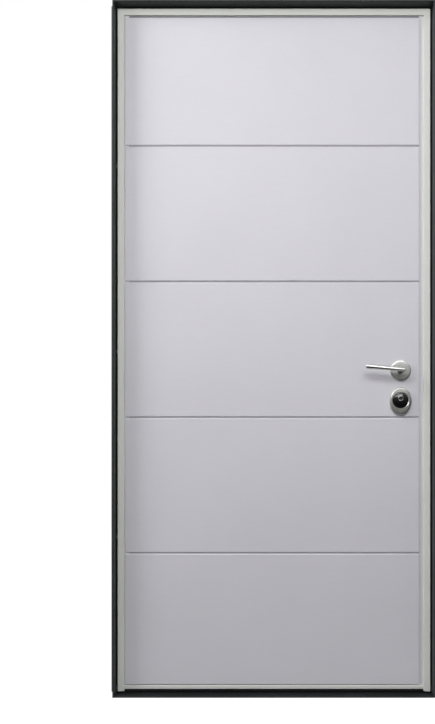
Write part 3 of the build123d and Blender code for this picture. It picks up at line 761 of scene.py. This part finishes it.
class DOOR_OT_guards(bpy.types.Operator):
    """Raises the oval cylinder guards from their outline, rounds the edge and bores the ring"""

    bl_idname = "door.guards"
    bl_label = "Cylinder guards"

    def execute(self, context):
        size = sizes()
        for side, out in SIDES.items():
            node = f"{side}_escutcheon"
            low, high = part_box(node)
            depth = high.y - low.y
            base_y = base_plane(node, out)
            disc_low, disc_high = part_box(f"{side}_guard_disc")
            disc = (disc_low + disc_high) / 2
            bore = (disc_high.x - disc_low.x) / 2 + 0.3 * MM
            # the outline comes from a copy of the node's mesh
            piece = frame["nodes"][node].copy()
            piece.data = piece.data.copy()
            for key in list(piece.keys()):
                del piece[key]
            piece.parent = None
            bpy.context.scene.collection.objects.link(piece)
            select_only(piece)
            open_piece(f"{side}_cylinder_guard")
            bpy.ops.mesh.remove_doubles(threshold=0.002 * MM)

            def off_outline(point):
                at_back = abs(point.y - base_y) < 0.01 * MM
                beyond = math.hypot(point.x - disc.x, point.z - disc.z) > bore + 1 * MM
                return not (at_back and beyond)

            pick(piece, "VERT", off_outline)
            bpy.ops.mesh.delete(type="VERT")
            bpy.ops.mesh.select_all(action="SELECT")
            bpy.ops.mesh.delete(type="ONLY_FACE")
            bpy.ops.mesh.select_all(action="SELECT")
            bpy.ops.mesh.edge_face_add()
            bevel = size.plate_bevel
            bpy.ops.mesh.extrude_region_move(
                TRANSFORM_OT_translate={"value": (0, out * (depth - bevel), 0)}
            )
            tidy_mesh()
            pick(piece, "FACE", lambda p, n: n.y * out > 0.9 and abs(p.y - base_y) > depth / 2)
            steps = 6
            for step in range(steps):
                start, end = (math.radians(90 * (step + more) / steps) for more in (0, 1))
                bpy.ops.mesh.inset(
                    thickness=bevel * (math.cos(start) - math.cos(end)),
                    depth=bevel * (math.sin(end) - math.sin(start)),
                )
            bpy.ops.object.mode_set(mode="OBJECT")
            ring = size.guard_ring
            profile = [
                (0, -5 * MM),
                (bore, -5 * MM),
                (bore, depth - ring),
                (bore + ring, depth),
                (bore + ring, depth + 5 * MM),
                (0, depth + 5 * MM),
            ]
            cutter = turned("ring_cutter", disc, base_y, out, profile, False, steps=96)
            combine(piece, cutter, "DIFFERENCE")
            finish_piece(piece, "leaf", "satin_nickel", stands_for=[node])
        return {"FINISHED"}


class DOOR_OT_guard_discs(bpy.types.Operator):
    """Turns the black domed discs and bores them for the key plug"""

    bl_idname = "door.guard_discs"
    bl_label = "Guard discs"

    def execute(self, context):
        for side, out in SIDES.items():
            node = f"{side}_guard_disc"
            low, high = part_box(node)
            centre = (low + high) / 2
            radius = (high.x - low.x) / 2
            rise = sizes().dome_rise
            edge = high.y - low.y - rise
            ball = (radius**2 + rise**2) / (2 * rise)
            middle = edge + rise - ball
            start = math.degrees(math.asin((edge - middle) / ball))
            profile = [
                (0, 0),
                (radius - 0.1 * MM, 0),
                (radius - 0.1 * MM, edge - 0.5 * MM),
                *arc(0, middle, ball, start + 1.2, 90, steps=14)[:-1],
                (0, edge + rise),
            ]
            base_y = base_plane(node, out)
            piece = turned(f"{side}_black_disc", centre, base_y, out, profile, False, steps=96)
            clear_selection()
            plug_low, plug_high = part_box(f"{side}_key_plug")
            bpy.ops.mesh.primitive_cylinder_add(
                vertices=64,
                radius=(plug_high.x - plug_low.x) / 2 + 0.3 * MM,
                depth=60 * MM,
                location=(PLUG_PLACE.x, base_y, PLUG_PLACE.z),
                rotation=(math.radians(90), 0, 0),
            )
            combine(piece, bpy.context.object, "DIFFERENCE")
            finish_piece(piece, "leaf", "guard_black", stands_for=[node])
        return {"FINISHED"}


class DOOR_OT_key_plugs(bpy.types.Operator):
    """Turns the key plugs with a raised rim and cuts the keyway"""

    bl_idname = "door.key_plugs"
    bl_label = "Key plugs"

    def execute(self, context):
        size = sizes()
        for side, out in SIDES.items():
            node = f"{side}_key_plug"
            low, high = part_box(node)
            base_y = base_plane(f"{side}_guard_disc", out)
            head = (high.x - low.x) / 2
            shaft = 6.5 * MM
            top = abs((low.y if out == OUTDOORS else high.y) - base_y)
            deep = high.y - low.y - top
            rim = 0.9 * MM
            sunk = 1.8 * MM
            profile = [
                (0, -deep),
                (shaft, -deep),
                (shaft, 0),
                (head, 0),
                *arc(head - rim, top - rim, rim, 0, 90, steps=4),
                (head - 1.5 * MM, top - 0.1 * MM),
                (head - 2.1 * MM, top - sunk),
                (0, top - sunk),
            ]
            piece = turned(f"{side}_plug", PLUG_PLACE, base_y, out, profile, False, steps=64)
            clear_selection()
            bpy.ops.mesh.primitive_cube_add(
                size=1,
                location=(PLUG_PLACE.x, base_y + out * top, PLUG_PLACE.z),
                rotation=(0, size.keyway_turn, 0),
                scale=(size.keyway_width, 18 * MM, size.keyway_height),
            )
            cutter = bpy.context.object
            bpy.ops.object.transform_apply(location=False, rotation=False, scale=True)
            apply_modifier(cutter, "BEVEL", width=0.7 * MM, segments=3)
            combine(piece, cutter, "DIFFERENCE")
            finish_piece(piece, "key_plug", "cylinder_metal", "turned_plug", [node])
        return {"FINISHED"}


def model_screw(name, radius, turn):
    """A countersunk screw head with a hexagon socket, its crown at the origin."""
    clear_selection()
    bpy.ops.mesh.primitive_circle_add(vertices=32, radius=radius * 0.55, fill_type="NGON")
    piece = open_piece(name)
    bpy.ops.transform.translate(value=(0, 0, -radius * 0.5))
    origin = (0, 0, 0)
    for lift, scale in ((radius * 0.42, 1 / 0.55), (radius * 0.05, 1.0), (radius * 0.03, 0.93)):
        bpy.ops.mesh.extrude_region_move(TRANSFORM_OT_translate={"value": (0, 0, lift)})
        bpy.ops.transform.resize(value=(scale, scale, 1), center_override=origin)
    tidy_mesh()
    bpy.ops.object.mode_set(mode="OBJECT")
    clear_selection()
    bpy.ops.mesh.primitive_cylinder_add(
        vertices=6, radius=radius * 0.5, depth=radius * 0.5, location=origin
    )
    combine(piece, bpy.context.object, "DIFFERENCE")
    select_only(piece)
    piece.rotation_euler = turn
    bpy.ops.object.transform_apply(location=True, rotation=True, scale=True)
    return piece


def place_screws(name, radius, turn, places, body, slot="zinc_steel"):
    """One modelled screw, and a copy of it at every further place."""
    for screw in set_out(model_screw(f"{name}_1", radius, turn), name, places):
        finish_piece(screw, body, slot)


class DOOR_OT_lock_screws(bpy.types.Operator):
    """Sets the countersunk screws in the lock's faceplates"""

    bl_idname = "door.lock_screws"
    bl_label = "Faceplate screws"

    def execute(self, context):
        low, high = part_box("lock_faceplates")
        edge = high.x + sizes().screw_proud
        line = (low.y + high.y) / 2
        heights = list(MAIN_PLATE_SCREWS)
        for name in ("upper_bolt", "lower_bolt"):
            bolt_low, bolt_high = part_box(name)
            middle = (bolt_low.z + bolt_high.z) / 2
            heights += [middle - BOLT_SCREW_OFFSET, middle + BOLT_SCREW_OFFSET]
        places = [Vector((edge, line, z)) for z in heights]
        place_screws("faceplate_screw", 4 * MM, (0, math.radians(90), 0), places, "leaf")
        return {"FINISHED"}


class DOOR_OT_hinge_screws(bpy.types.Operator):
    """Sets the screws in the hinges' plates on the leaf and on the jamb"""

    bl_idname = "door.hinge_screws"
    bl_label = "Hinge screws"

    def execute(self, context):
        proud = sizes().screw_proud
        leaf_places = []
        frame_places = []
        for where in ("upper", "lower"):
            low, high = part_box(f"hinge_{where}_leaf_half")
            middle = (low.z + high.z) / 2
            leaf_places += [
                Vector((high.x - 6 * MM, HINGE_LEAF_PLANE + proud, middle + rise))
                for rise in HINGE_LEAF_SCREWS
            ]
            frame_places += [
                Vector((HINGE_FRAME_PLANE + proud, HINGE_FRAME_LINE, middle + rise))
                for rise in HINGE_FRAME_SCREWS
            ]
        turn = (math.radians(-90), 0, 0)
        place_screws("hinge_leaf_screw", 3.6 * MM, turn, leaf_places, "leaf")
        turn = (0, math.radians(90), 0)
        place_screws("hinge_frame_screw", 3.6 * MM, turn, frame_places, "frame")
        return {"FINISHED"}


class DOOR_OT_anchors(bpy.types.Operator):
    """Sets the countersunk anchors in the threshold"""

    bl_idname = "door.anchors"
    bl_label = "Threshold anchors"

    def execute(self, context):
        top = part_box("threshold")[1].z
        places = [Vector((x, ANCHOR_LINE, top - 0.3 * MM)) for x in ANCHOR_PLACES]
        place_screws("threshold_anchor", 7.4 * MM, (0, 0, 0), places, "frame", "frame_paint")
        return {"FINISHED"}


class DOOR_OT_hole_caps(bpy.types.Operator):
    """Closes the wall fixing holes in the jambs with round caps"""

    bl_idname = "door.hole_caps"
    bl_label = "Hole caps"

    def execute(self, context):
        for side, out in (("hinge", 1), ("lock", -1)):
            clear_selection()
            bpy.ops.mesh.primitive_circle_add(
                vertices=40, radius=5.2 * MM, fill_type="NGON", location=(0, 0, -4 * MM)
            )
            first = open_piece(f"{side}_cap_1")
            for lift, scale in ((4, 1.0), (0, 1.32), (0.5, 1.0), (0.4, 0.95), (0.25, 0.82)):
                bpy.ops.mesh.extrude_region_move(
                    TRANSFORM_OT_translate={"value": (0, 0, lift * MM)}
                )
                bpy.ops.transform.resize(value=(scale, scale, 1), center_override=(0, 0, 0))
            tidy_mesh()
            bpy.ops.object.mode_set(mode="OBJECT")
            first.rotation_euler = (0, out * math.radians(90), 0)
            bpy.ops.object.transform_apply(location=True, rotation=True, scale=True)
            places = [Vector((-out * REVEAL, CAP_LINE, z)) for z in CAP_HEIGHTS]
            for cap in set_out(first, f"{side}_cap", places):
                finish_piece(cap, "frame", "seal_rubber")
        return {"FINISHED"}


# Studio: lamps by name, place, target, width, height and power, and boards round the object


LAMPS = (
    ("Key softbox", (0.05, -2.6, 2.35), (0.05, 0, -0.2), 2.4, 1.2, 54.5),
    ("Side softbox", (-2.8, -1.1, 2.9), (0.4, 0, 1.4), 1.0, 1.4, 78),
    ("Back softbox", (1.4, 2.9, 2.6), (0, 0, 1.2), 2.4, 1.2, 52),
)
FLAT = (0, 0, 0)
UPRIGHT = (math.radians(90), 0, 0)
UPRIGHT_ASIDE = (math.radians(90), 0, math.radians(90))
FLAGS = (
    {
        "name": "floor_flag", "place": (0, -2.76, 0.03), "scale": (9, 4.68, 1),
        "turn": FLAT, "bright": 0.0, "mirrored_only": True,
    },
    {
        "name": "front_flag", "place": (0, -5.2, 2.0), "scale": (11, 5.0, 1),
        "turn": UPRIGHT, "bright": 0.72,
    },
    {
        "name": "side_flag", "place": (3.6, -2.9, 1.5), "scale": (4.4, 3.2, 1),
        "turn": UPRIGHT_ASIDE, "bright": 0.5,
    },
    {
        "name": "back_flag", "place": (0, 5.2, 2.0), "scale": (11, 5.0, 1),
        "turn": UPRIGHT, "bright": 0.9,
    },
)
FLAG_TOP = 4.5
FLOOR_GLOW = 0.95
SURROUND_LIGHT = 0.21


def background_share(tree):
    """1 for what the camera, a mirror or glass sees, and 0 for the light on the object."""
    rays = tree.nodes.new("ShaderNodeLightPath").outputs
    seen = maths(tree, "MAXIMUM", rays["Is Camera Ray"], rays["Is Glossy Ray"])
    return maths(tree, "MAXIMUM", seen, rays["Is Transmission Ray"])


def add_lamp(name, place, target, width, height, power):
    """A soft rectangular lamp that points at a target."""
    data = bpy.data.lights.new(name, "AREA")
    data.shape = "RECTANGLE"
    data.size = width
    data.size_y = height
    data.energy = power
    lamp = bpy.data.objects.new(name, data)
    bpy.context.scene.collection.objects.link(lamp)
    lamp.location = place
    lamp.rotation_euler = (Vector(target) - Vector(place)).to_track_quat("-Z", "Y").to_euler()


def add_flag(name, place, scale, turn, bright, mirrored_only=False):
    """A board that the camera doesn't see and the metal mirrors, dark at the floor."""
    clear_selection()
    bpy.ops.mesh.primitive_plane_add(size=1, location=place, rotation=turn)
    flag = bpy.context.object
    flag.name = name
    flag.scale = scale
    bpy.ops.object.transform_apply(location=True, rotation=True, scale=True)
    material, tree, shader = new_material(name)
    height = split_axes(tree, object_space(tree))["Z"]
    glow = remap(tree, height, 0.0, bright, 0.0, FLAG_TOP)
    shader.inputs["Base Color"].default_value = (0.01, 0.01, 0.01, 1)
    shader.inputs["Roughness"].default_value = 1.0
    shader.inputs["Specular IOR Level"].default_value = 0.0
    shader.inputs["Emission Color"].default_value = (1, 1, 1, 1)
    tree.links.new(glow, shader.inputs["Emission Strength"])
    flag.data.materials.append(material)
    flag.visible_camera = False
    flag.visible_diffuse = not mirrored_only
    flag.visible_shadow = not mirrored_only


class DOOR_OT_stage(bpy.types.Operator):
    """Sets the pale floor, the soft lamps, the white surround and the camera"""

    bl_idname = "door.stage"
    bl_label = "Studio"

    def execute(self, context):
        scene = bpy.context.scene
        clear_selection()
        bpy.ops.mesh.primitive_plane_add(size=14, location=(0, 0, 0))
        floor = bpy.context.object
        floor.name = "studio_floor"
        material, tree, shader = new_material("Pale floor")
        shader.inputs["Base Color"].default_value = (0.15, 0.15, 0.15, 1)
        shader.inputs["Roughness"].default_value = 0.9
        shader.inputs["Emission Color"].default_value = (1, 1, 1, 1)
        glow = maths(tree, "MULTIPLY", background_share(tree), FLOOR_GLOW)
        tree.links.new(glow, shader.inputs["Emission Strength"])
        floor.data.materials.append(material)

        world = bpy.data.worlds.new("White surround")
        scene.world = world
        world.use_nodes = True
        tree = world.node_tree
        background = tree.nodes["Background"]
        background.inputs["Color"].default_value = (1, 1, 1, 1)
        strength = remap(tree, background_share(tree), SURROUND_LIGHT, 1.0, 0.0, 1.0)
        tree.links.new(strength, background.inputs["Strength"])

        for lamp in LAMPS:
            add_lamp(*lamp)
        for flag in FLAGS:
            add_flag(**flag)

        data = bpy.data.cameras.new("Camera")
        camera = bpy.data.objects.new("Camera", data)
        scene.collection.objects.link(camera)
        camera.location = (0, -3.316, 0.7469)
        camera.rotation_euler = (math.radians(90), 0, 0)
        data.lens = 53.77
        data.sensor_width = 36
        data.shift_x = -0.078
        data.shift_y = 0.1217
        scene.camera = camera

        scene.view_settings.view_transform = "Standard"
        return {"FINISHED"}


STEPS = (
    DOOR_OT_finishes,
    DOOR_OT_roses,
    DOOR_OT_levers,
    DOOR_OT_guards,
    DOOR_OT_guard_discs,
    DOOR_OT_key_plugs,
    DOOR_OT_lock_screws,
    DOOR_OT_hinge_screws,
    DOOR_OT_anchors,
    DOOR_OT_hole_caps,
    DOOR_OT_stage,
)


class DOOR_PT_panel(bpy.types.Panel):
    """Lists the door's steps, sizes and colours"""

    bl_idname = "DOOR_PT_panel"
    bl_label = "Security door"
    bl_space_type = "VIEW_3D"
    bl_region_type = "UI"
    bl_category = "Door"

    def draw(self, context):
        for step in STEPS:
            self.layout.operator(step.bl_idname)
        for group in (context.scene.door_sizes, context.scene.door_colours):
            box = self.layout.box()
            for name in group.__annotations__:
                box.prop(group, name)


CLASSES = (DoorSizes, DoorColours, *STEPS, DOOR_PT_panel)


def register():
    for cls in CLASSES:
        bpy.utils.register_class(cls)
    bpy.types.Scene.door_sizes = bpy.props.PointerProperty(type=DoorSizes)
    bpy.types.Scene.door_colours = bpy.props.PointerProperty(type=DoorColours)


def unregister():
    del bpy.types.Scene.door_colours
    del bpy.types.Scene.door_sizes
    for cls in reversed(CLASSES):
        bpy.utils.unregister_class(cls)


def main():
    register()
    for step in STEPS:
        group, name = step.bl_idname.split(".")
        getattr(getattr(bpy.ops, group), name)()


if __name__ == "__main__":
    main()
